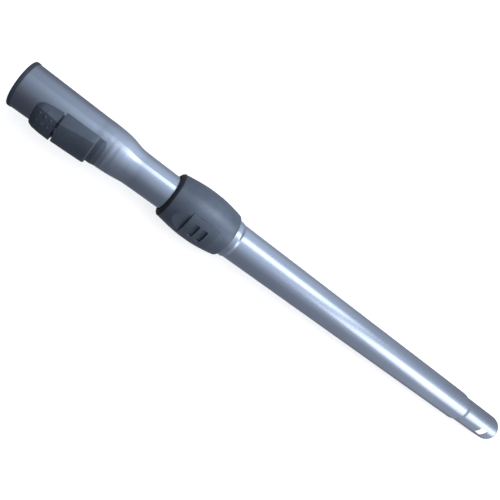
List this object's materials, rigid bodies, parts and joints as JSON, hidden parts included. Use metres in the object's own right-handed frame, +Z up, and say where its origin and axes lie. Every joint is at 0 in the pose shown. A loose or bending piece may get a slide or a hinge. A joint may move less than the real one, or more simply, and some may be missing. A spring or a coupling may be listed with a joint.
{
  "type": "telescopic vacuum wand",
  "caption": "Collapsed telescopic vacuum wand: swaged socket with sliding release catch, barrel collar with slide button, sliding steel tubes and a stepped-down spigot.",
  "frame": {"origin": "on the floor under the middle of the wand, at the centre of the bounding box's underside", "axes": "+X along the wand from the mouth to the tip, +Z up, the release catch faces -Y"},
  "size_m": [0.63, 0.0489, 0.049],
  "materials": {
    "tube_steel": "bluish silver lacquer on steel, satin",
    "dark_plastic": "slate grey, finely textured",
    "rim_plastic": "near black, satin",
    "guide_plastic": "natural acetal, satin",
    "seal_rubber": "black, matte",
    "bright_steel": "bright zinc plated"
  },
  "bodies": {
    "lower": {"outer_tube": "tube_steel", "guide_sleeve": "guide_plastic", "wiper_ring": "seal_rubber", "collar_shell": "dark_plastic", "collar_rim": "rim_plastic", "roller_cage": "guide_plastic", "button_springs": "bright_steel"},
    "upper": {"inner_tube": "tube_steel", "mouth_liner": "dark_plastic", "catch_base": "dark_plastic", "catch_cover": "dark_plastic", "latch_pin": "bright_steel", "latch_spring": "bright_steel", "base_rivets": "bright_steel", "end_bush": "guide_plastic", "bush_seal": "seal_rubber"},
    "button": {"slide_button": "dark_plastic", "lock_slider": "guide_plastic"},
    "roller": {"lock_roller": "bright_steel"},
    "key": {"catch_key": "dark_plastic"},
    "latch": {"catch_latch": "bright_steel"}
  },
  "joints": [
    {"name": "telescope", "type": "slide", "parent": "lower", "child": "upper", "axis": [-1, 0, 0], "range_m": [0, 0.324]},
    {"name": "button_slide", "type": "slide", "parent": "lower", "child": "button", "axis": [1, 0, 0], "range_m": [0, 0.0045], "stiffness_N_per_m": 700, "springref_m": -0.004, "deforming": ["button_springs"]},
    {"name": "roller_lift", "type": "slide", "parent": "lower", "child": "roller", "axis": [0, -0.9659, 0.2588], "range_m": [0, 0.00135]},
    {"name": "key_slide", "type": "slide", "parent": "upper", "child": "key", "axis": [1, 0, 0], "range_m": [0, 0.0015], "stiffness_N_per_m": 1500, "springref_m": -0.002},
    {"name": "latch_lift", "type": "hinge", "parent": "upper", "child": "latch", "pos_m": [-0.255, -0.019, 0.0245], "axis": [0, 0, 1], "range_deg": [0, 4.88], "deforming": ["latch_spring"]}
  ],
  "couplings": [
    {"joint": "roller_lift", "follows": "button_slide", "ratio": 0.3},
    {"joint": "latch_lift", "follows": "key_slide", "rad_per_m": 56.667}
  ]
}
